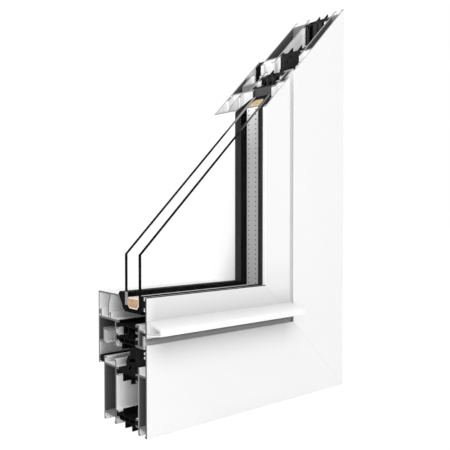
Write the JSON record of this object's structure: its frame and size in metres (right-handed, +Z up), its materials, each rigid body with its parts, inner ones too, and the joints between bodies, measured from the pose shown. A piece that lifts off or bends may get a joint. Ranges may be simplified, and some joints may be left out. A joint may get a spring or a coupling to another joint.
{
  "type": "aluminium window corner sample",
  "caption": "Cut-away corner of a thermally broken aluminium window: frame, sash, double glazing, seals and weather bar, open at a straight and a slanted cut.",
  "frame": {"origin": "centre of the bounding box in plan, on the level that the frame's feet stand on", "axes": "+X from the straight cut to the frame's side edge, +Y from outside to the room, +Z up"},
  "size_m": [0.235, 0.093, 0.377],
  "materials": {
    "white_aluminium": "white powder coat, fine and even",
    "plain_aluminium": "as extruded",
    "black_polyamide": "matt, fine glass fibre grain",
    "black_rubber": "satin rubber",
    "clear_glass": "clear float glass",
    "grey_spacer": "satin grey with two rows of fine holes",
    "tan_desiccant": "packed fine beads",
    "white_plastic": "satin moulded plastic"
  },
  "bodies": {
    "root": {"frame_rail_outer_shell": "white_aluminium", "frame_jamb_outer_shell": "white_aluminium", "frame_rail_inner_shell": "white_aluminium", "frame_jamb_inner_shell": "white_aluminium", "frame_rail_wall_bar": "black_polyamide", "frame_jamb_wall_bar": "black_polyamide", "frame_rail_rebate_bar": "black_polyamide", "frame_jamb_rebate_bar": "black_polyamide", "sash_rail_outer_shell": "white_aluminium", "sash_jamb_outer_shell": "white_aluminium", "sash_rail_inner_shell": "white_aluminium", "sash_jamb_inner_shell": "white_aluminium", "sash_rail_gap_bar": "black_polyamide", "sash_jamb_gap_bar": "black_polyamide", "sash_rail_glass_bar": "black_polyamide", "sash_jamb_glass_bar": "black_polyamide", "centre_gasket_rail": "black_rubber", "centre_gasket_jamb": "black_rubber", "stop_gasket_rail": "black_rubber", "stop_gasket_jamb": "black_rubber", "outer_glazing_gasket_rail": "black_rubber", "outer_glazing_gasket_jamb": "black_rubber", "inner_glazing_gasket_rail": "black_rubber", "inner_glazing_gasket_jamb": "black_rubber", "glazing_bead_rail": "white_aluminium", "glazing_bead_jamb": "white_aluminium", "spacer_rail": "grey_spacer", "spacer_jamb": "grey_spacer", "desiccant_rail": "tan_desiccant", "desiccant_jamb": "tan_desiccant", "edge_seal_rail": "black_rubber", "edge_seal_jamb": "black_rubber", "outer_pane": "clear_glass", "inner_pane": "clear_glass", "weather_bar": "white_aluminium", "weather_bar_end_cap": "white_plastic", "frame_outer_cleat": "plain_aluminium", "frame_inner_cleat": "plain_aluminium", "sash_inner_cleat": "plain_aluminium"}
  },
  "joints": []
}
